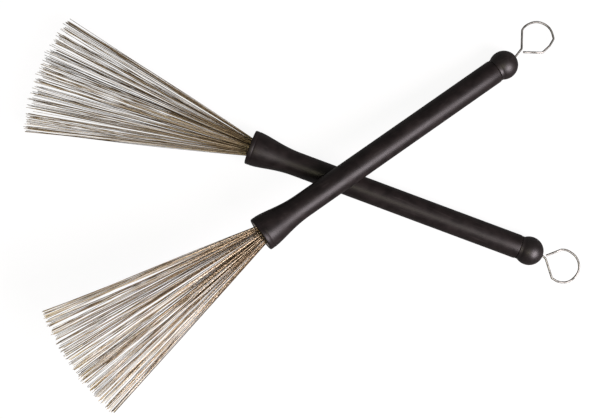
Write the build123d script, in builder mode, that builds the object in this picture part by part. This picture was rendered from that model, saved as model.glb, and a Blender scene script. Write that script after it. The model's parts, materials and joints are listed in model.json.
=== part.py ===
"""A pair of retractable wire drum brushes, one lying across the other.

Millimetres, +Z up. Both brushes rest on the plane Z = 0, and the origin is on that plane, under the
middle of the pair. Each brush is laid out on its own plane: origin at the centre of the handle's mouth,
X back along the handle to the pull loop, Y level across it, Z up. The wires fan out towards -X.
"""

import os
from math import asin, atan2, cos, degrees, dist, pi, sin, sqrt
from random import Random

from build123d import *

# How each brush lies: centre of the mouth, compass heading of the handle, and how far its mouth is raised
lower_mouth = (-30.37, 36.14, 10.195)
lower_heading = -20.41
lower_tilt = 0.613
upper_mouth = (-23.58, -14.13, 31.32)
upper_heading = 34.95
upper_tilt = 7.659

# Fans: half the width at the tips, how far their middle stands off the axis, and how much longer the
# wires are for each millimetre to the side. The upper brush's rod stands drawn in by a few millimetres.
lower_fan = (34.6, -2.6, -0.04)
upper_fan = (33.0, 0.0, 0.0)
lower_drawn_in = 0.0
upper_drawn_in = 3.2
lower_seed = 3
upper_seed = 8

# Finger loops, bent by hand: corner, kink, centre and radius of the round, the bends after it and the
# cut end, as distances back from the ball's pole and across from the handle's axis
lower_last_bends = ((9.2, 7.2),)
upper_last_bends = ((25.9, -4.2), (21.4, -6.2), (15.3, -7.0))
lower_loop = ((2.4, -0.9), (9.7, -10.2), (13.8, -1.6), 9.0, lower_last_bends, (2.1, 0.9))
upper_loop = ((6.4, 1.8), (13.1, 10.5), (17.1, 1.1), 10.5, upper_last_bends, (6.0, -0.4))

# Rubber grip sleeve: flared rim at the mouth, easing down to a plain tube
rim_radius = 10.15
rim_end = 3.5
flare_end = 29.0
grip_radius = 7.0
flare_handles = ((12.0, 9.3), (18.0, grip_radius))
grip_end = 165.6
rim_rounding = 0.5
sleeve_gap = 0.03

# Aluminium handle tube, belled at the mouth
tube_radius = 6.0
tube_wall = 0.5
tube_end = 174.0
tube_bore = tube_radius - tube_wall
bell_start = 0.3
bell_end = 9.0
bell_outside = 8.65
bell_inside = 8.15
bell_outside_handles = ((2.4, 7.6), (5.0, tube_radius))
bell_inside_handles = ((4.8, tube_bore), (2.0, 7.2))

# Seat of the tube in the sleeve
seat_radius = tube_radius + sleeve_gap
seat_mouth = 8.83
seat_handles = ((5.0, seat_radius), (2.2, 7.8))

# Rubber ball pressed over the back end of the tube
ball_radius = 8.35
ball_centre = 172.1
collar_radius = 6.8
collar_start = 165.75
collar_chamfer = 0.4
socket_end = tube_end + 0.1
rod_hole = 0.7

# Guide bush and rubber bumper inside the back of the tube
bumper_start = 158.4
bumper_end = 160.3
bumper_radius = 5.2
bumper_hole = 1.0
guide_start = 160.4
guide_end = 173.9
guide_radius = 5.48
guide_waist = 4.4
guide_land = 3.0
guide_bore = 0.68

# Ferrule on the roots of the wires, its plug, and the nylon ring that slides in the tube
ferrule_front = 13.0
ferrule_back = 27.0
ferrule_radius = 3.4
ferrule_bore = 2.6
ferrule_lead = 0.3
ferrule_lead_length = 1.0
crimp_depth = 0.3
crimp_width = 1.6
crimp_places = (15.2, 18.0)
plug_front = 25.2
plug_back = 28.4
plug_stub = 2.55
plug_gap = 0.02
plug_chamfer = 0.4
ring_front = 20.0
ring_back = 26.5
ring_radius = 5.43
ring_bore = 3.43
ring_taper_depth = 0.5
ring_taper_length = 0.8

# Pull rod: one steel wire, bent by hand at its back end into a finger loop
rod_radius = 0.62
rod_front = 25.3
rod_gap = 0.01
neck_start = 0.3
neck_bend = 1.2
hand_bend = 0.9
end_bend = 1.8
loop_sides = 12
loop_rounding = 0.7

# Steel wires of the fan
wire_radius = 0.13
wire_root = 24.8
wire_bend = 11.0
wire_bend_radius = 14.0
wire_length = 138.6
wire_rings = 8
ring_pitch = 0.3
fan_depth = 10.0
length_spread = 1.2
side_spread = 1.2
depth_spread = 0.3

# Wires share a node by the direction in which they spread: name, and the angle where its sector ends
wire_sectors = [("side", 9), ("rising", 30), ("steep_rising", 62), ("upright", 118),
                ("steep_falling", 150), ("falling", 171)]


def brush_plane(mouth, heading, tilt):
    """The plane that one brush is laid out on."""
    across = Vector(0, 1, 0).rotate(Axis.Z, heading)
    back = Vector(1, 0, 0).rotate(Axis.Z, heading).rotate(Axis((0, 0, 0), across), tilt)
    return Plane(origin=mouth, x_dir=back, z_dir=back.cross(across))


def save(piece, name):
    """Labels a finished piece and writes it as a STEP file."""
    piece.part.label = name
    export_step(piece.part, f"parts/{name}.step")


def grip_sleeve(plane, name):
    """Black rubber sleeve over the whole tube, thick and rounded at the mouth."""
    with BuildPart() as sleeve:
        with BuildSketch(plane):
            with BuildLine():
                Line((rim_rounding, rim_radius), (rim_end, rim_radius))
                Bezier((rim_end, rim_radius), *flare_handles, (flare_end, grip_radius))
                Line((flare_end, grip_radius), (grip_end - rim_rounding, grip_radius))
                RadiusArc((grip_end - rim_rounding, grip_radius), (grip_end, grip_radius - rim_rounding),
                          rim_rounding)
                Polyline((grip_end, grip_radius - rim_rounding), (grip_end, seat_radius),
                         (bell_end, seat_radius))
                Bezier((bell_end, seat_radius), *seat_handles, (0, seat_mouth))
                Line((0, seat_mouth), (0, rim_radius - rim_rounding))
                RadiusArc((0, rim_radius - rim_rounding), (rim_rounding, rim_radius), rim_rounding)
            make_face()
        revolve(axis=Axis(plane.origin, plane.x_dir))
    save(sleeve, name)


def handle_tube(plane, name):
    """Thin aluminium tube, with a belled mouth that lets the wires slide in."""
    with BuildPart() as tube:
        with BuildSketch(plane):
            with BuildLine():
                Bezier((bell_start, bell_outside), *bell_outside_handles, (bell_end, tube_radius))
                Polyline((bell_end, tube_radius), (tube_end, tube_radius), (tube_end, tube_bore),
                         (bell_end, tube_bore))
                Bezier((bell_end, tube_bore), *bell_inside_handles, (bell_start, bell_inside))
                Line((bell_start, bell_inside), (bell_start, bell_outside))
            make_face()
        revolve(axis=Axis(plane.origin, plane.x_dir))
    save(tube, name)


def butt_ball(plane, name):
    """Rubber ball with a socket for the tube, a low collar at its front and a hole for the rod."""
    collar_end = ball_centre - sqrt(ball_radius**2 - collar_radius**2)
    tail = ball_centre + sqrt(ball_radius**2 - rod_hole**2)
    crown = (ball_centre, ball_radius)
    with BuildPart() as ball:
        with BuildSketch(plane):
            with BuildLine():
                Polyline((tail, rod_hole), (socket_end, rod_hole), (socket_end, seat_radius),
                         (collar_start, seat_radius), (collar_start, collar_radius - collar_chamfer),
                         (collar_start + collar_chamfer, collar_radius), (collar_end, collar_radius))
                ThreePointArc((collar_end, collar_radius), crown, (tail, rod_hole))
            make_face()
        revolve(axis=Axis(plane.origin, plane.x_dir))
    save(ball, name)


def rod_guide(plane, name):
    """Brass bush with two lands, pressed into the back of the tube."""
    with BuildPart() as guide:
        with BuildSketch(plane):
            with BuildLine():
                Polyline((guide_start, guide_bore), (guide_end, guide_bore), (guide_end, guide_radius),
                         (guide_end - guide_land, guide_radius), (guide_end - guide_land, guide_waist),
                         (guide_start + guide_land, guide_waist), (guide_start + guide_land, guide_radius),
                         (guide_start, guide_radius), close=True)
            make_face()
        revolve(axis=Axis(plane.origin, plane.x_dir))
    save(guide, name)


def bumper_washer(plane, name):
    """Rubber washer that the plug comes to rest on when the wires are fully drawn in."""
    with BuildPart() as washer:
        with BuildSketch(plane):
            with BuildLine():
                Polyline((bumper_start, bumper_hole), (bumper_end, bumper_hole),
                         (bumper_end, bumper_radius), (bumper_start, bumper_radius), close=True)
            make_face()
        revolve(axis=Axis(plane.origin, plane.x_dir))
    save(washer, name)


def ferrule(plane, name, drawn_in):
    """Brass sleeve squeezed on the roots of the wires, with two crimp grooves."""
    with BuildPart() as sleeve:
        with BuildSketch(plane):
            with BuildLine():
                outline = [(ferrule_front, ferrule_bore + ferrule_lead), (ferrule_front, ferrule_radius)]
                for place in crimp_places:
                    outline += [(place, ferrule_radius),
                                (place + crimp_depth, ferrule_radius - crimp_depth),
                                (place + crimp_width - crimp_depth, ferrule_radius - crimp_depth),
                                (place + crimp_width, ferrule_radius)]
                outline += [(ferrule_back, ferrule_radius), (ferrule_back, ferrule_bore),
                            (ferrule_front + ferrule_lead_length, ferrule_bore)]
                Polyline([(x + drawn_in, y) for x, y in outline], close=True)
            make_face()
        revolve(axis=Axis(plane.origin, plane.x_dir))
    save(sleeve, name)


def ferrule_plug(plane, name, drawn_in):
    """Brass plug in the back of the ferrule, with the rod soldered through it."""
    hole = rod_radius + rod_gap
    shoulder = ferrule_back + plug_gap
    with BuildPart() as plug:
        with BuildSketch(plane):
            with BuildLine():
                outline = [(plug_front, hole), (plug_front, plug_stub),
                           (shoulder, plug_stub), (shoulder, ferrule_radius),
                           (plug_back - plug_chamfer, ferrule_radius),
                           (plug_back, ferrule_radius - plug_chamfer), (plug_back, hole)]
                Polyline([(x + drawn_in, y) for x, y in outline], close=True)
            make_face()
        revolve(axis=Axis(plane.origin, plane.x_dir))
    save(plug, name)


def glide_ring(plane, name, drawn_in):
    """Nylon ring on the ferrule, a sliding fit in the tube, which holds the rod where it is left."""
    end_radius = ring_radius - ring_taper_depth
    with BuildPart() as ring:
        with BuildSketch(plane):
            with BuildLine():
                outline = [(ring_front, ring_bore), (ring_front, end_radius),
                           (ring_front + ring_taper_length, ring_radius),
                           (ring_back - ring_taper_length, ring_radius),
                           (ring_back, end_radius), (ring_back, ring_bore)]
                Polyline([(x + drawn_in, y) for x, y in outline], close=True)
            make_face()
        revolve(axis=Axis(plane.origin, plane.x_dir))
    save(ring, name)


def loop_corners(corner, kink, centre, radius, last_bends, end):
    """Corners of the rod's bent end, from the neck to the cut end, and the rounding at each.

    Places are distances back from the ball's pole and across from the handle's axis. The round of the
    loop runs from the kink about the far side of the circle to the first of the last bends, in short
    bends by hand.
    """
    pole = ball_centre + ball_radius
    round_ends = (kink, last_bends[0])
    start, finish = [atan2(y - centre[1], x - centre[0]) for x, y in round_ends]
    start_reach, finish_reach = [dist(place, centre) for place in round_ends]
    bow = 1 / cos((start - finish) / loop_sides / 2)
    points = [(neck_start, 0), corner, kink]
    for side in range(1, loop_sides):
        share = side / loop_sides
        reach = start_reach if share < 0.5 else finish_reach
        reach = (radius + (reach - radius) * (2 * share - 1)**2) * bow
        angle = start + (finish - start) * share
        points.append((centre[0] + reach * cos(angle), centre[1] + reach * sin(angle)))
    points += [*last_bends, end]
    rounds = [radius * loop_rounding] * (loop_sides - 1)
    roundings = [neck_bend, hand_bend, hand_bend, *rounds, *[end_bend] * len(last_bends)]
    return [(pole + x, y) for x, y in points], roundings


def pull_rod(plane, name, drawn_in, loop):
    """Steel wire from the plug, out through the ball, bent into a flat finger loop."""
    points, roundings = loop_corners(*loop)
    with BuildPart() as rod:
        with BuildLine(plane) as path:
            FilletPolyline((rod_front + drawn_in, 0), *points, radius=roundings)
        with BuildSketch(Plane(origin=path.line @ 0, z_dir=path.line % 0)):
            Circle(rod_radius)
        sweep(path=path.wires()[0])
    save(rod, name)


def fan_wires(half_width, middle, lean, drawn_in, seed):
    """Root, bend and tip of every wire of a fan, with the direction that it spreads in.

    The roots are packed in rings, each with six wires more than the one inside it, and the tips keep
    the order of the roots, spaced evenly across the fan.
    """
    chance = Random(seed)
    wires = []
    for ring in range(1, wire_rings + 1):
        for place in range(6 * ring):
            angle = 2 * pi * (place + 0.5 * (ring % 2)) / (6 * ring)
            across, up = ring * cos(angle) / wire_rings, ring * sin(angle) / wire_rings
            even = 2 / pi * (asin(across) + across * sqrt(1 - across**2))
            side = middle + half_width * even + chance.uniform(-side_spread, side_spread)
            rise = fan_depth * up + chance.uniform(-depth_spread, depth_spread)
            length = wire_length + lean * side + chance.uniform(-length_spread, length_spread)
            root_side, root_rise = across * ring_pitch * wire_rings, up * ring_pitch * wire_rings
            reach = sqrt(length**2 - (side - root_side)**2 - (rise - root_rise)**2)
            wires.append(((wire_root + drawn_in, root_side, root_rise),
                          (wire_bend + drawn_in, root_side, root_rise),
                          (wire_bend + drawn_in - reach, side, rise),
                          degrees(atan2(rise, side)) % 180))
    return wires


def wire_group(plane, name, wires):
    """The wires of one sector, each its own solid."""
    with BuildPart() as group:
        for root, bend, tip, _ in wires:
            with BuildLine(plane) as path:
                FilletPolyline(root, bend, tip, radius=wire_bend_radius)
            with BuildSketch(Plane(origin=path.line @ 0, z_dir=path.line % 0)):
                Circle(wire_radius)
            sweep(path=path.wires()[0])
    save(group, name)


def sector_of(direction):
    """The name of the sector that a direction of spread, from 0 to 180 degrees, falls in."""
    for name, end in wire_sectors:
        if direction < end:
            return name
    return wire_sectors[0][0]


def brush(side, plane, fan, drawn_in, seed, loop):
    """All the pieces of one brush."""
    grip_sleeve(plane, f"{side}_grip_sleeve")
    handle_tube(plane, f"{side}_handle_tube")
    butt_ball(plane, f"{side}_butt_ball")
    rod_guide(plane, f"{side}_rod_guide")
    bumper_washer(plane, f"{side}_bumper_washer")
    ferrule(plane, f"{side}_ferrule", drawn_in)
    ferrule_plug(plane, f"{side}_ferrule_plug", drawn_in)
    glide_ring(plane, f"{side}_glide_ring", drawn_in)
    pull_rod(plane, f"{side}_pull_rod", drawn_in, loop)
    wires = fan_wires(*fan, drawn_in, seed)
    for sector, _ in wire_sectors:
        members = [wire for wire in wires if sector_of(wire[3]) == sector]
        wire_group(plane, f"{side}_wires_{sector}", members)


os.makedirs("parts", exist_ok=True)
lower_plane = brush_plane(lower_mouth, lower_heading, lower_tilt)
upper_plane = brush_plane(upper_mouth, upper_heading, upper_tilt)
brush("lower", lower_plane, lower_fan, lower_drawn_in, lower_seed, lower_loop)
brush("upper", upper_plane, upper_fan, upper_drawn_in, upper_seed, upper_loop)
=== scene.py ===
import json
from math import asin, atan2, cos, degrees, dist, hypot, pi, radians, sin, sqrt, tan
from random import Random

import bpy
from mathutils import Matrix, Vector


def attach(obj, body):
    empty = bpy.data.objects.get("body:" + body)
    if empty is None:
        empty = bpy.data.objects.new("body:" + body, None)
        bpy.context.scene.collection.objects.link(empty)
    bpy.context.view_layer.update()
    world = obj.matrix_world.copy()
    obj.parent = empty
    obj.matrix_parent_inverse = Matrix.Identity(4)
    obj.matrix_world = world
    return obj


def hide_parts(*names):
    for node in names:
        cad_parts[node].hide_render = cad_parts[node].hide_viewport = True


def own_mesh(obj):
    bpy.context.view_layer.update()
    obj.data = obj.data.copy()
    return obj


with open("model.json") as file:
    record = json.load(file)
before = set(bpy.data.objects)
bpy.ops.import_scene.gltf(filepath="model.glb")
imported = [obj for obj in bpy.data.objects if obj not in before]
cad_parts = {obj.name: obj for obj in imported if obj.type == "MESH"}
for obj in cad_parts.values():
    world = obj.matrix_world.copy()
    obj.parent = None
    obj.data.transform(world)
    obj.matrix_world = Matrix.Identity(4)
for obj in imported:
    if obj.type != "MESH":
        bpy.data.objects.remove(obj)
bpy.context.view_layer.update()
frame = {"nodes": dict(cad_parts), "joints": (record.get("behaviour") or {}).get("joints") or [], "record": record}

mm = 0.001   # pieces are measured in millimetres, and the scene in metres


def deselectAll():
    if bpy.context.object and bpy.context.object.mode != "OBJECT":
        bpy.ops.object.mode_set(mode="OBJECT")
    bpy.ops.object.select_all(action="DESELECT")


def editOnly(piece):
    deselectAll()
    bpy.context.view_layer.objects.active = piece
    piece.select_set(True)
    bpy.ops.object.mode_set(mode="EDIT")


def leaveEdit():
    bpy.ops.object.mode_set(mode="OBJECT")


def mixed(low, high, share):
    return low + (high - low) * share


def bezier(a, b, c, d, steps):
    # points along a cubic curve, without its first point
    points = []
    for step in range(1, steps + 1):
        t = step / steps
        weights = ((1 - t)**3, 3 * t * (1 - t)**2, 3 * t * t * (1 - t), t**3)
        points.append(tuple(sum(w * p[i] for w, p in zip(weights, (a, b, c, d))) for i in (0, 1)))
    return points


def arc(middle, radius, start, end, steps):
    # points along a round, angles in degrees, without its first point
    points = []
    for step in range(1, steps + 1):
        angle = radians(mixed(start, end, step / steps))
        points.append((middle[0] + radius * cos(angle), middle[1] + radius * sin(angle)))
    return points


clipBack = 110 * mm   # the clip mount is this far behind the handle's mouth


def brushPlacement(side):
    # X back along the handle from the centre of its mouth, Y level across it, Z up
    joint = next(j for j in frame["joints"] if j["name"] == side + "_rod_slide")
    clip = next(m for m in frame["record"]["mounts"] if m["name"] == side + "_handle_clip")
    back = Vector(joint["axis"]).normalized()
    across = Vector((0, 0, 1)).cross(back).normalized()
    up = back.cross(across)
    mouth = Vector(clip["pos_m"]) - back * clipBack
    placement = Matrix((back, across, up)).transposed().to_4x4()
    placement.translation = mouth
    return placement


placements = {side: brushPlacement(side) for side in ("lower", "upper")}


def lay(piece, side):
    # moves a piece from the brush's own frame into the row frame, and leaves its object at the origin
    deselectAll()
    piece.matrix_world = placements[side]
    bpy.context.view_layer.objects.active = piece
    piece.select_set(True)
    bpy.ops.object.transform_apply(location=True, rotation=True, scale=True)


class Link:   # a socket that reads as a number in expressions
    def __init__(self, finish, socket):
        self.finish = finish
        self.socket = socket

    def maths(self, operation, first, second):
        return self.finish.node("ShaderNodeMath", {"operation": operation}, {0: first, 1: second})

    def __add__(self, other):
        return self.maths("ADD", self, other)

    def __radd__(self, other):
        return self.maths("ADD", other, self)

    def __sub__(self, other):
        return self.maths("SUBTRACT", self, other)

    def __rsub__(self, other):
        return self.maths("SUBTRACT", other, self)

    def __mul__(self, other):
        return self.maths("MULTIPLY", self, other)

    def __rmul__(self, other):
        return self.maths("MULTIPLY", other, self)


class Finish:   # one material and the nodes that make it
    def __init__(self, name):
        self.material = bpy.data.materials.new(name)
        self.material.use_nodes = True
        self.tree = self.material.node_tree
        self.shader = self.tree.nodes["Principled BSDF"]

    def node(self, kind, settings=None, sockets=None, output=0):
        made = self.tree.nodes.new(kind)
        for key, value in (settings or {}).items():
            if key == "stops":
                for spare in range(len(value) - 2):
                    made.color_ramp.elements.new(0.5)
                for element, (place, colour) in zip(made.color_ramp.elements, value):
                    element.position = place
                    element.color = colour
            else:
                setattr(made, key, value)
        for key, value in (sockets or {}).items():
            self.feed(made.inputs[key], value)
        return Link(self, made.outputs[output])

    def feed(self, socket, value):
        if isinstance(value, Link):
            self.tree.links.new(value.socket, socket)
        else:
            socket.default_value = value

    def place(self, turn=(0, 0, 0), scale=(1, 1, 1)):
        # the object's own coordinates, turned first and stretched after
        where = self.node("ShaderNodeTexCoord", output="Object")
        turned = self.node("ShaderNodeMapping", {}, {"Vector": where, "Rotation": turn})
        return self.node("ShaderNodeMapping", {}, {"Vector": turned, "Scale": scale})

    def noise(self, where, scale, detail=3.0, roughness=0.55):
        return self.node("ShaderNodeTexNoise", {},
                         {"Vector": where, "Scale": scale, "Detail": detail, "Roughness": roughness})

    def ramp(self, factor, *stops):
        return self.node("ShaderNodeValToRGB", {"stops": stops}, {"Fac": factor})

    def band(self, value, low, high, first=0.0, last=1.0):
        sockets = {"Value": value, "From Min": low, "From Max": high, "To Min": first, "To Max": last}
        return self.node("ShaderNodeMapRange", {"clamp": True}, sockets)

    def mix(self, factor, first, second):
        return self.node("ShaderNodeMix", {"data_type": "RGBA"},
                         {0: factor, 6: first, 7: second}, output=2)

    def bump(self, height, strength, distance):
        return self.node("ShaderNodeBump", {},
                         {"Height": height, "Strength": strength, "Distance": distance})

    def finish(self, **sockets):
        for key, value in sockets.items():
            self.feed(self.shader.inputs[key.replace("_", " ")], value)
        return self.material


def grey(level, warm=0.0):
    return (level * (1 + warm), level, level * (1 - warm), 1.0)


rubber = {   # scales are per metre
    "dark": (0.0050, 0.0033, 0.0033, 1.0),
    "light": (0.0118, 0.0084, 0.0082, 1.0),
    "dust": (0.060, 0.050, 0.047, 1.0),
    "dusting": 0.18,      # how much dust the scuffs hold
    "sheen": 0.43,        # how rough the satin is, on average
    "mottleRough": 0.22,
    "scuffRough": 0.10,
    "grainRough": 0.08,
    "specular": {"Grip": 0.27, "Ball": 0.42},
    "grain": 3600,        # fine moulded grain
    "grainHeight": 0.3,
    "mottle": 160,
    "mottleRange": (0.35, 0.68),
    "mottleHeight": 0.8,
    "scuffs": (45, 620, 620),   # long scuffs, along the handle and across it
    "scuffRange": (0.60, 0.78),
    "scuffHeight": 0.2,
    "bump": 0.10,
    "bumpDepth": 0.0001,
}


def rubberFinish(side, piece):
    # satin moulded rubber: faint mottle, long scuffs from the hand, fine grain
    look = Finish(f"{side}{piece}Rubber")
    back = placements[side].col[0]
    even = look.place()
    along = look.place((0, 0, -atan2(back[1], back[0])), rubber["scuffs"])
    mottle = look.noise(even, rubber["mottle"], 4.0)
    scuffs = look.noise(along, 1.0, 3.0)
    grain = look.noise(even, rubber["grain"], 2.0)
    scuffed = look.band(scuffs, *rubber["scuffRange"])
    base = look.mix(look.band(mottle, *rubber["mottleRange"]), rubber["dark"], rubber["light"])
    colour = look.mix(scuffed * rubber["dusting"], base, rubber["dust"])
    rough = (rubber["sheen"] + (mottle - 0.5) * rubber["mottleRough"] + scuffed * rubber["scuffRough"]
             + (grain - 0.5) * rubber["grainRough"])
    height = (grain * rubber["grainHeight"] + mottle * rubber["mottleHeight"]
              + scuffs * rubber["scuffHeight"])
    return look.finish(Base_Color=colour, Roughness=rough,
                       Normal=look.bump(height, rubber["bump"], rubber["bumpDepth"]),
                       Specular_IOR_Level=rubber["specular"][piece])


steelWire = {
    "dark": (0.045, 0.029, 0.015, 1.0),
    "middle": (0.265, 0.196, 0.114, 1.0),
    "light": (0.75, 0.635, 0.452, 1.0),
    "stops": (0.05, 0.42, 0.95),   # tones of the three colours
    "patches": 420,
    "patchTone": 0.35,
    "patchRough": 0.25,
    "rootShadeEnd": 0.35,     # share of the length over which the painted shade at the root fades out
    # how much the painted shade darkens the wires at the root
    "rootShade": 0.16,
    "rough": 0.36,
    "metallic": 0.7,
}


def wireFinish(name):
    # drawn spring wire: each wire has its own tone, with fine drawn streaks, and painted shade that darkens it
    # towards the root, where the wires crowd at the mouth
    look = Finish(name)
    tone = look.node("ShaderNodeAttribute", {"attribute_name": "wireTone"}, output="Fac")
    along = look.node("ShaderNodeAttribute", {"attribute_name": "alongWire"}, output="Fac")
    patches = look.noise(look.place(), steelWire["patches"], 3.0)
    # painted shade: the wires are darker towards the root, where they crowd at the mouth
    root = look.band(along, 0.0, steelWire["rootShadeEnd"], steelWire["rootShade"], 0.0)
    shade = tone + (patches - 0.5) * steelWire["patchTone"] - root
    tones = (steelWire["dark"], steelWire["middle"], steelWire["light"])
    colour = look.ramp(shade, *zip(steelWire["stops"], tones))
    rough = steelWire["rough"] + (patches - 0.5) * steelWire["patchRough"]
    return look.finish(Base_Color=colour, Roughness=rough, Metallic=steelWire["metallic"])


rodSteel = {
    "bright": (0.30, 0.30, 0.275, 1.0),
    "dull": (0.10, 0.10, 0.088, 1.0),
    "patches": 260,
    "dullRange": (0.42, 0.66),
    "fine": 2600,
    "rough": 0.37,
    "dullRough": 0.14,
    "fineRough": 0.10,
    "metallic": 0.85,
    "bump": 0.25,
    "bumpDepth": 0.00004,
}


def rodFinish(name):
    # bright drawn rod wire, with dull patches where it was bent and handled
    look = Finish(name)
    patches = look.noise(look.place(), rodSteel["patches"], 4.0)
    fine = look.noise(look.place(), rodSteel["fine"], 2.0)
    dull = look.band(patches, *rodSteel["dullRange"])
    colour = look.mix(dull, rodSteel["bright"], rodSteel["dull"])
    rough = rodSteel["rough"] + dull * rodSteel["dullRough"] + (fine - 0.5) * rodSteel["fineRough"]
    return look.finish(Base_Color=colour, Roughness=rough, Metallic=rodSteel["metallic"],
                       Normal=look.bump(fine, rodSteel["bump"], rodSteel["bumpDepth"]))


aluminium = {
    "bright": grey(0.80, 0.05),
    "dull": grey(0.60, 0.10),
    "patches": 300,
    "fine": 3800,
    "rough": 0.36,
    "patchRough": 0.2,
    "fineRough": 0.12,
    "metallic": 0.9,
    "bump": 0.2,
    "bumpDepth": 0.00003,
}


def aluminiumFinish(name):
    # drawn tube, dull and finely marked
    look = Finish(name)
    patches = look.noise(look.place(), aluminium["patches"], 3.0)
    fine = look.noise(look.place(), aluminium["fine"], 2.0)
    colour = look.mix(patches, aluminium["bright"], aluminium["dull"])
    rough = (aluminium["rough"] + (patches - 0.5) * aluminium["patchRough"]
             + (fine - 0.5) * aluminium["fineRough"])
    return look.finish(Base_Color=colour, Roughness=rough, Metallic=aluminium["metallic"],
                       Normal=look.bump(fine, aluminium["bump"], aluminium["bumpDepth"]))


brass = {
    "bright": (0.68, 0.47, 0.19, 1.0),
    "tarnished": (0.34, 0.22, 0.09, 1.0),
    "patches": 340,
    "tarnishRange": (0.45, 0.75),
    "turning": 4200,
    "rough": 0.28,
    "tarnishRough": 0.22,
    "turningRough": 0.1,
    "bump": 0.2,
    "bumpDepth": 0.00003,
}


def brassFinish(name):
    # turned brass, tarnished in patches
    look = Finish(name)
    patches = look.noise(look.place(), brass["patches"], 4.0)
    turned = look.noise(look.place(), brass["turning"], 2.0)
    tarnish = look.band(patches, *brass["tarnishRange"])
    colour = look.mix(tarnish, brass["bright"], brass["tarnished"])
    rough = brass["rough"] + tarnish * brass["tarnishRough"] + (turned - 0.5) * brass["turningRough"]
    return look.finish(Base_Color=colour, Roughness=rough, Metallic=1.0,
                       Normal=look.bump(turned, brass["bump"], brass["bumpDepth"]))


nylon = {
    "light": (0.80, 0.77, 0.68, 1.0),
    "dark": (0.66, 0.62, 0.52, 1.0),
    "patches": 500,
    "fine": 5200,
    "rough": 0.42,
    "fineRough": 0.15,
    "bump": 0.2,
    "bumpDepth": 0.00003,
}


def nylonFinish(name):
    # natural nylon, yellowed in patches
    look = Finish(name)
    patches = look.noise(look.place(), nylon["patches"], 3.0)
    fine = look.noise(look.place(), nylon["fine"], 2.0)
    colour = look.mix(patches, nylon["light"], nylon["dark"])
    return look.finish(Base_Color=colour, Roughness=nylon["rough"] + (fine - 0.5) * nylon["fineRough"],
                       Normal=look.bump(fine, nylon["bump"], nylon["bumpDepth"]))


bumper = {
    "dark": grey(0.018),
    "light": grey(0.045, 0.04),
    "patches": 700,
    "rough": 0.7,
    "patchRough": 0.2,
    "bump": 0.3,
    "bumpDepth": 0.0001,
}


def bumperFinish(name):
    # soft black rubber with a matt skin
    look = Finish(name)
    patches = look.noise(look.place(), bumper["patches"], 4.0)
    colour = look.mix(patches, bumper["dark"], bumper["light"])
    return look.finish(Base_Color=colour,
                       Roughness=bumper["rough"] + (patches - 0.5) * bumper["patchRough"],
                       Normal=look.bump(patches, bumper["bump"], bumper["bumpDepth"]))


gripLooks = {side: rubberFinish(side, "Grip") for side in placements}
ballLooks = {side: rubberFinish(side, "Ball") for side in placements}
looks = {
    "wires": wireFinish("springWire"),
    "rod": rodFinish("rodWire"),
    "tube": aluminiumFinish("tubeAluminium"),
    "brass": brassFinish("turnedBrass"),
    "nylon": nylonFinish("glideNylon"),
    "bumper": bumperFinish("bumperRubber"),
}
print("materials made")


def chain(name, points):
    # a plane merged to one corner, then extruded from point to point, in millimetres; left in edit mode
    deselectAll()
    bpy.ops.mesh.primitive_plane_add(size=mm, location=[value * mm for value in points[0]])
    piece = bpy.context.object
    piece.name = piece.data.name = name
    bpy.ops.object.transform_apply(location=True, rotation=True, scale=True)
    editOnly(piece)
    bpy.ops.mesh.select_all(action="SELECT")
    bpy.ops.mesh.merge(type="CENTER")
    for here, there in zip(points, points[1:]):
        step = [(b - a) * mm for a, b in zip(here, there)]
        bpy.ops.mesh.extrude_region_move(TRANSFORM_OT_translate={"value": step})
    return piece


def turnedPiece(name, outline, steps):
    # a closed outline of (along, radius) points, spun about the X axis
    piece = chain(name, [(along, 0, radius) for along, radius in outline + outline[:1]])
    bpy.ops.mesh.select_all(action="SELECT")
    bpy.ops.mesh.remove_doubles(threshold=1e-7)
    bpy.ops.mesh.select_all(action="SELECT")
    bpy.ops.mesh.spin(steps=steps, angle=2 * pi, center=(0, 0, 0), axis=(1, 0, 0))
    bpy.ops.mesh.select_all(action="SELECT")
    bpy.ops.mesh.remove_doubles(threshold=1e-6)
    bpy.ops.mesh.normals_make_consistent(inside=False)
    leaveEdit()
    return piece


def smooth(piece, angle=40):
    deselectAll()
    bpy.context.view_layer.objects.active = piece
    piece.select_set(True)
    bpy.ops.object.shade_smooth_by_angle(angle=radians(angle))


grip = {   # millimetres, along the handle from its mouth and out from its axis
    "steps": 96,
    "rimRadius": 10.15,
    "rimRound": 0.7,     # round of the rim's front edge
    "rimDrop": 0.05,     # how far that round stays below the rim
    "lip": 2.5,          # width of the lip at the mouth
    "lipGroove": ((-0.3, 0.0), (-0.1, 0.112), (0.05, 0.16), (0.2, 0.112), (0.4, 0.02)),   # along, depth
    "rimEnd": 3.5,
    "rimStep": 0.02,
    "flarePulls": ((12, 9.3), (18, 7.0)),   # points that the flare's curve leans towards
    "flareSteps": 20,
    "flareEnd": 29.0,
    "radius": 7.0,
    "straightParts": 14,
    "end": 165.6,
    "endRound": 0.6,
    "bore": 6.03,
    "bellEnd": 9.0,
    "bellPulls": ((5.0, 6.03), (2.2, 7.83)),
    "bellStart": (0.3, 8.8),
    "bellRadius": 8.83,
    "seam": 0.05,        # height of the mould's parting line
    "seamStart": 5.0,
}


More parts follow.
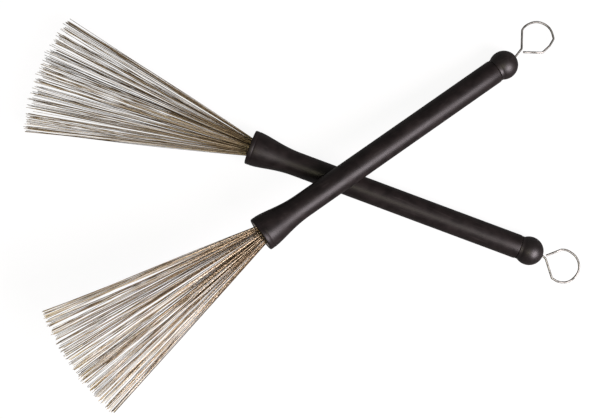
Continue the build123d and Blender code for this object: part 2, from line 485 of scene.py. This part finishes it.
def gripSleeve(side):
    rim, lip, radius, end = grip["rimRadius"], grip["lip"], grip["radius"], grip["end"]
    front, back = grip["rimRound"], grip["endRound"]
    outline = [(0, grip["bellRadius"]), (0, rim - front)]
    outline += arc((front, rim - front - grip["rimDrop"]), front, 180, 90, 6)
    outline += [(lip + along, rim - depth) for along, depth in grip["lipGroove"]]
    outline += [(grip["rimEnd"], rim - grip["rimStep"])]
    outline += bezier((grip["rimEnd"], rim), *grip["flarePulls"], (grip["flareEnd"], radius),
                      grip["flareSteps"])
    parts = grip["straightParts"]
    outline += [(mixed(grip["flareEnd"], end - back, part / parts), radius) for part in range(1, parts + 1)]
    outline += arc((end - back, radius - back), back, 90, 0, 5)
    outline += [(end, grip["bore"]), (grip["bellEnd"], grip["bore"])]
    outline += bezier((grip["bellEnd"], grip["bore"]), *grip["bellPulls"], grip["bellStart"], 10)
    piece = turnedPiece(side + "GripSleeve", outline, grip["steps"])
    for vertex in piece.data.vertices:   # parting line down both sides of the mould
        place = vertex.co
        outside = hypot(place.y, place.z) > radius * mm * 0.98 and place.x > grip["seamStart"] * mm
        if outside and abs(place.z) < grip["seam"] * mm:
            place.y += grip["seam"] * mm * (1 if place.y > 0 else -1)
    return piece


ball = {   # measured as the grip is
    "steps": 96,
    "radius": 8.35,
    "centre": 172.1,
    "collar": 6.8,
    "collarStart": 165.75,
    "collarRound": 0.35,
    "collarFoot": (0.12, 0.02),   # how far the crease beside the ball stands off both
    "socket": 6.03,
    "socketEnd": 174.1,
    "hole": 0.7,
    "holeRound": 0.35,
    "holeMouth": ((0.25, 0.08), (0.6, 0.0)),   # depth below the ball, width past the hole
    "arcSteps": 40,
}


def buttBall(side):
    centre, radius, collar, start = ball["centre"], ball["radius"], ball["collar"], ball["collarStart"]
    edge, hole = ball["collarRound"], ball["hole"]
    blend = degrees(atan2(collar, -sqrt(radius**2 - collar**2)))
    tail = degrees(asin((hole + ball["holeRound"]) / radius))
    outline = [(start, ball["socket"]), (start, collar - edge)]
    outline += arc((start + edge, collar - edge), edge, 180, 90, 4)
    collarEnd = centre + radius * cos(radians(blend))
    outline += [(collarEnd - ball["collarFoot"][0], collar - ball["collarFoot"][1])]
    outline += arc((centre, 0.0), radius, blend - 2, tail, ball["arcSteps"])
    dimple = centre + radius * cos(radians(tail))
    outline += [(dimple - depth, hole + width) for depth, width in ball["holeMouth"]]
    outline += [(ball["socketEnd"], hole), (ball["socketEnd"], ball["socket"])]
    return turnedPiece(side + "ButtBall", outline, ball["steps"])


tube = {   # measured as the grip is
    "steps": 72,
    "radius": 6.0,
    "wall": 0.5,
    "end": 174.0,
    "rimStart": 0.55,
    "rimOutside": 8.6,
    "rimInside": 8.15,
    "rimMiddle": 8.38,
    "rimRound": 0.22,
    "outerPulls": ((2.4, 7.6), (5.0, 6.0)),
    "innerPulls": ((4.8, 5.5), (2.0, 7.2)),
    "bellEnd": 9.0,
}


def handleTube(side):
    start, radius, bellEnd = tube["rimStart"], tube["radius"], tube["bellEnd"]
    bore = radius - tube["wall"]
    outline = [(start, tube["rimOutside"])]
    outline += bezier((start, tube["rimOutside"]), *tube["outerPulls"], (bellEnd, radius), 10)
    outline += [(tube["end"], radius), (tube["end"], bore), (bellEnd, bore)]
    outline += bezier((bellEnd, bore), *tube["innerPulls"], (start, tube["rimInside"]), 12)
    outline += arc((start, tube["rimMiddle"]), tube["rimRound"], 270, 90, 6)[:-1]
    return turnedPiece(side + "HandleTube", outline, tube["steps"])


for side in placements:
    for make, node, look, slot in (
            (gripSleeve, "grip_sleeve", gripLooks[side], "grip_rubber"),
            (buttBall, "butt_ball", ballLooks[side], "ball_rubber"),
            (handleTube, "handle_tube", looks["tube"], "tube_aluminium")):
        piece = make(side)
        lay(piece, side)
        smooth(piece)
        piece.data.materials.append(look)
        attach(piece, f"{side}_handle")
        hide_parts(f"{side}_{node}")
    print(side, "handle made")


pullRod = {
    "radius": 0.62,
    "front": 25.3,
    "sides": 16,
    "smoothing": 50,     # degrees
    "neckStart": 0.3,
    "pole": ball["centre"] + ball["radius"],   # back of the ball, where the loop is measured from
    "loopParts": 40,
    "cornerRounds": ((1.2, 5), (0.9, 5), (0.8, 4)),   # radius and parts of the first three corners
    "bendRound": (1.8, 4),
    "wobble": (0.08, 0.05),   # how far the loop is off a true round, bent by hand
    "tuck": 0.09,             # how much tighter it is than that round
}
# the bends of each loop, along and across from the back of the ball: those before its cut end,
# and then the others
lastBends = {"lower": ((9.2, 7.2),), "upper": ((25.9, -4.2), (21.4, -6.2), (15.3, -7.0))}
rodBends = {   # corner, kink, middle and radius of the round, cut end
    "lower": ((2.4, -0.9), (9.7, -10.2), (13.8, -1.6), 9.0, (2.1, 0.9)),
    "upper": ((6.4, 1.8), (13.1, 10.5), (17.1, 1.1), 10.5, (6.0, -0.4)),
}
drawnIn = {"lower": 0.0, "upper": 3.2}   # how far each rod stands in from its outermost place


def roundedCorner(before, corner, after, radius, steps):
    # points of the curve that rounds a corner off, which takes up less than half of either side
    a, b, c = (Vector((*p, 0)) for p in (before, corner, after))
    inward, outward = (a - b).normalized(), (c - b).normalized()
    half = inward.angle(outward) / 2
    room = 0.48 * min((a - b).length, (c - b).length)
    reach = min(radius / max(1e-6, tan(half)), room)
    first, last = b + inward * reach, b + outward * reach
    points = []
    for step in range(steps + 1):
        t = step / steps
        points.append(first * (1 - t)**2 + b * 2 * t * (1 - t) + last * t * t)
    return [(p.x, p.y) for p in points]


def rodLine(side):
    corner, kink, middle, radius, end = rodBends[side]
    bends = lastBends[side]
    start, finish = (atan2(y - middle[1], x - middle[0]) for x, y in (kink, bends[0]))
    startReach, finishReach = dist(kink, middle), dist(bends[0], middle)
    loop = []
    count, (slow, quick) = pullRod["loopParts"], pullRod["wobble"]
    for step in range(1, count):
        share = step / count
        reach = startReach if share < 0.5 else finishReach
        reach = radius + (reach - radius) * (2 * share - 1)**2
        angle = mixed(start, finish, share)
        reach += slow * sin(4 * angle) + quick * sin(7 * angle + 1) - pullRod["tuck"]
        loop.append((middle[0] + reach * cos(angle), middle[1] + reach * sin(angle)))
    neck = (pullRod["neckStart"], 0)
    front = (pullRod["front"] + drawnIn[side] - pullRod["pole"], 0)
    line = [front]
    corners = (front, neck, corner, kink, loop[1])
    for *places, (rounding, steps) in zip(corners, corners[1:], corners[2:], pullRod["cornerRounds"]):
        line += roundedCorner(*places, rounding, steps)
    line += loop[2:-1]
    for places in zip((loop[-2], *bends), bends, (*bends[1:], end)):
        line += roundedCorner(*places, *pullRod["bendRound"])
    line += [end]
    return [(pullRod["pole"] + x, y) for x, y in line]


def rodPiece(side):
    # a chain along the rod's line, given the wire's thickness as a curve, then made a mesh again
    chain(side + "PullRod", [(x, y, 0) for x, y in rodLine(side)])
    leaveEdit()
    bpy.ops.object.convert(target="CURVE")
    curve = bpy.context.object.data
    curve.bevel_depth = pullRod["radius"] * mm
    curve.bevel_resolution = pullRod["sides"] // 4
    curve.use_fill_caps = True
    bpy.ops.object.convert(target="MESH")
    piece = bpy.context.object
    editOnly(piece)
    bpy.ops.mesh.select_all(action="SELECT")
    bpy.ops.mesh.remove_doubles(threshold=1e-6)
    bpy.ops.mesh.normals_make_consistent(inside=False)
    leaveEdit()
    return piece


for side in placements:
    piece = rodPiece(side)
    lay(piece, side)
    smooth(piece, pullRod["smoothing"])
    piece.data.materials.append(looks["rod"])
    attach(piece, side + "_rod")
    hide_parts(side + "_pull_rod")
print("pull rods made")


fan = {
    "rings": 8,          # six-sided rings of wires, one inside another
    "pitch": 0.3,        # between rings, where the wires are bound
    "radius": 0.13,
    "sides": 6,
    "smoothing": 60,     # degrees
    "root": 24.8,        # how far in the wires start, and where they bend outwards
    "bend": 11.0,
    "length": 138.3,     # from the bend to the tips
    "depth": 10.0,       # half the fan's height at the tips
    "lengthSpread": 0.8,
    "sideSpread": 2.6,   # in the middle of the fan, and half as much at the sides
    "depthSpread": 0.9,
    "bow": 1.6,          # how far a wire bows off its straight line at the middle
    "bowGauss": 0.5,
    "clumps": 19,
    "clumpReach": 0.12,  # share of half the width
    "clumping": 0.10,    # how far the tips gather towards the middle of their clump
    "tones": ((0.0, 0.18), (0.28, 0.62), (0.75, 1.0)),   # dark, middling and bright wires
    "toneShares": (0.27, 0.51, 0.22),
    "keep": 0.05,        # share of the spread that is left when the wires are drawn in
}
fans = {   # half the width at the tips, how far the middle stands off the axis, extra length to the side
    "lower": {"half": 34.3, "middle": -2.6, "lean": -0.04, "seed": 21},
    "upper": {"half": 33.0, "middle": 0.0, "lean": 0.0, "seed": 34},
}
sectors = [   # CAD group, where its sector ends, and the direction that its wires fold in along
    ("side", 8, 0), ("rising", 28, 15.5), ("steep_rising", 64, 42), ("upright", 116, 90),
    ("steep_falling", 152, 138), ("falling", 172, 164.5)]
cuts = (0.07, 0.10, 0.13, 0.3, 0.47, 0.64, 0.82)   # where a wire's mesh is divided, root to tip


def modelWire():
    # one wire, a unit long on the X axis, cut into the lengths that it bends by
    deselectAll()
    bpy.ops.mesh.primitive_cylinder_add(vertices=fan["sides"], radius=fan["radius"] * mm, depth=1.0,
                                        location=(0.5, 0, 0), rotation=(0, pi / 2, 0))
    wire = bpy.context.object
    bpy.ops.object.transform_apply(location=True, rotation=True, scale=True)
    editOnly(wire)
    for place in cuts:
        bpy.ops.mesh.select_all(action="SELECT")
        bpy.ops.mesh.bisect(plane_co=(place, 0, 0), plane_no=(1, 0, 0))
    leaveEdit()
    smooth(wire, fan["smoothing"])
    return wire


def layOut(side):
    # roots and tips of all the wires of a fan
    shape = fans[side]
    chance = Random(shape["seed"])
    clumps = sorted(chance.uniform(-1, 1) for _ in range(fan["clumps"]))
    wires = []
    for ring in range(1, fan["rings"] + 1):
        for place in range(6 * ring):
            angle = 2 * pi * (place + 0.5 * (ring % 2)) / (6 * ring)
            across, up = ring * cos(angle) / fan["rings"], ring * sin(angle) / fan["rings"]
            even = 2 / pi * (asin(across) + across * sqrt(1 - across**2))
            nearest = min(clumps, key=lambda clump: abs(clump - even))
            pull = fan["clumping"] if abs(nearest - even) < fan["clumpReach"] else 0.0
            even += (nearest - even) * pull
            spread = fan["sideSpread"] * (1 - 0.5 * abs(even))
            tipSide = shape["middle"] + shape["half"] * even + chance.uniform(-1, 1) * spread
            tipUp = fan["depth"] * up + chance.uniform(-1, 1) * fan["depthSpread"]
            length = fan["length"] + shape["lean"] * tipSide
            length += chance.uniform(-1, 1) * fan["lengthSpread"]
            rootSide, rootUp = across * fan["pitch"] * fan["rings"], up * fan["pitch"] * fan["rings"]
            reach = sqrt(length**2 - (tipSide - rootSide)**2 - (tipUp - rootUp)**2)
            wires.append({
                "root": (fan["root"] + drawnIn[side], rootSide, rootUp),
                "bend": (fan["bend"] + drawnIn[side], rootSide, rootUp),
                "tip": (fan["bend"] + drawnIn[side] - reach, tipSide, tipUp),
                "bow": tuple(chance.gauss(0, fan["bowGauss"]) * fan["bow"] for _ in range(2)),
                "tone": mixed(*chance.choices(fan["tones"], fan["toneShares"])[0], chance.random()),
                "direction": degrees(atan2(tipUp, tipSide)) % 180,
            })
    return wires


def bendWire(wire, line):
    # lays a copy of the straight wire along its own line
    bendShare = cuts[1]
    root, bend, tip = (Vector(line[key]) for key in ("root", "bend", "tip"))
    bowSide, bowUp = line["bow"]
    along = wire.data.attributes.new("alongWire", "FLOAT", "POINT")
    tone = wire.data.attributes.new("wireTone", "FLOAT", "POINT")
    for index, vertex in enumerate(wire.data.vertices):
        share = vertex.co.x
        cross = Vector((0, vertex.co.y, vertex.co.z))
        if share < bendShare:
            middle = root.lerp(bend, share / bendShare)
        else:
            out = (share - bendShare) / (1 - bendShare)
            middle = bend.lerp(tip, out)
            middle.y += bowSide * sin(pi * out)
            middle.z += bowUp * sin(pi * out)
        along.data[index].value = share
        tone.data[index].value = line["tone"]
        vertex.co = middle * mm + cross


def sectorOf(direction):
    for name, end, _ in sectors:
        if direction < end:
            return name
    return sectors[0][0]


model = modelWire()
for side in placements:
    groups = {name: [] for name, _, _ in sectors}
    for line in layOut(side):
        wire = model.copy()
        wire.data = model.data.copy()
        bpy.context.scene.collection.objects.link(wire)
        bendWire(wire, line)
        groups[sectorOf(line["direction"])].append(wire)
    for name, _, fold in sectors:
        deselectAll()
        for wire in groups[name]:
            wire.select_set(True)
        piece = groups[name][0]
        bpy.context.view_layer.objects.active = piece
        bpy.ops.object.join()
        piece.name = piece.data.name = side + "Wires" + name.title().replace("_", "")
        piece.data.materials.clear()
        piece.data.materials.append(looks["wires"])
        lay(piece, side)
        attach(piece, side + "_rod")
        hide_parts(f"{side}_wires_{name}")
        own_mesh(piece)
    print(side, "wires made")
bpy.data.objects.remove(model)


innerLooks = {"rod_guide": "brass", "ferrule": "brass", "ferrule_plug": "brass", "glide_ring": "nylon",
              "bumper_washer": "bumper"}
for side in placements:
    for node, look in innerLooks.items():
        part = frame["nodes"][f"{side}_{node}"]
        part.data.materials.clear()
        part.data.materials.append(looks[look])
print("inner parts finished")


studio = {
    "floorSize": 80.0,
    "floorHeight": -0.0002,
    "floorColour": (0.08, 0.08, 0.08, 1.0),
    "floorRough": 0.9,
    "floorSheen": 0.1,
    "floorGlow": 0.92,
    "world": (1.0, 0.97, 0.96, 1.0),
    "worldStrength": 0.20,
    "keyDirection": (0.84, -0.54, 0.95),
    "keyDistance": 1.1,
    "keySize": 0.75,
    "keyPower": 23.0,
    "keyColour": (1.0, 0.90, 0.95),
    "topDirection": (-0.08, -0.25, 0.97),
    "topDistance": 1.2,
    "topSize": 0.5,
    "topPower": 2.8,
    "topColour": (1.0, 0.94, 0.66),
    "cameraHeight": 0.6,
    "cameraPlace": (-0.0016, 0.0),
    "lens": 61.3,
    "nearest": 0.01,
}


def floor():
    deselectAll()
    bpy.ops.mesh.primitive_plane_add(size=studio["floorSize"], location=(0, 0, studio["floorHeight"]))
    plane = bpy.context.object
    plane.name = "floor"
    look = Finish("floor")
    plane.data.materials.append(look.finish(
        Base_Color=studio["floorColour"], Roughness=studio["floorRough"],
        Specular_IOR_Level=studio["floorSheen"],
        Emission_Color=(1, 1, 1, 1), Emission_Strength=studio["floorGlow"]))
    plane.visible_glossy = False   # keeps the rims of the dark handles from mirroring the floor


def light(name, direction, distance, size, power, colour):
    lamp = bpy.data.lights.new(name, "AREA")
    lamp.shape = "DISK"
    lamp.size = size
    lamp.energy = power
    lamp.color = colour
    holder = bpy.data.objects.new(name, lamp)
    bpy.context.scene.collection.objects.link(holder)
    holder.location = Vector(direction).normalized() * distance
    holder.rotation_euler = Vector(direction).to_track_quat("Z", "Y").to_euler()


floor()
lampSettings = ("Direction", "Distance", "Size", "Power", "Colour")
for name in ("key", "top"):
    light(name + "Light", *(studio[name + setting] for setting in lampSettings))
world = bpy.data.worlds.new("studio")
world.use_nodes = True
world.node_tree.nodes["Background"].inputs["Color"].default_value = studio["world"]
world.node_tree.nodes["Background"].inputs["Strength"].default_value = studio["worldStrength"]
bpy.context.scene.world = world
bpy.context.scene.view_settings.view_transform = "Standard"

lensHolder = bpy.data.cameras.new("camera")
lensHolder.lens = studio["lens"]
lensHolder.clip_start = studio["nearest"]
camera = bpy.data.objects.new("camera", lensHolder)
bpy.context.scene.collection.objects.link(camera)
camera.location = (*studio["cameraPlace"], studio["cameraHeight"])
bpy.context.scene.camera = camera
print("studio ready")
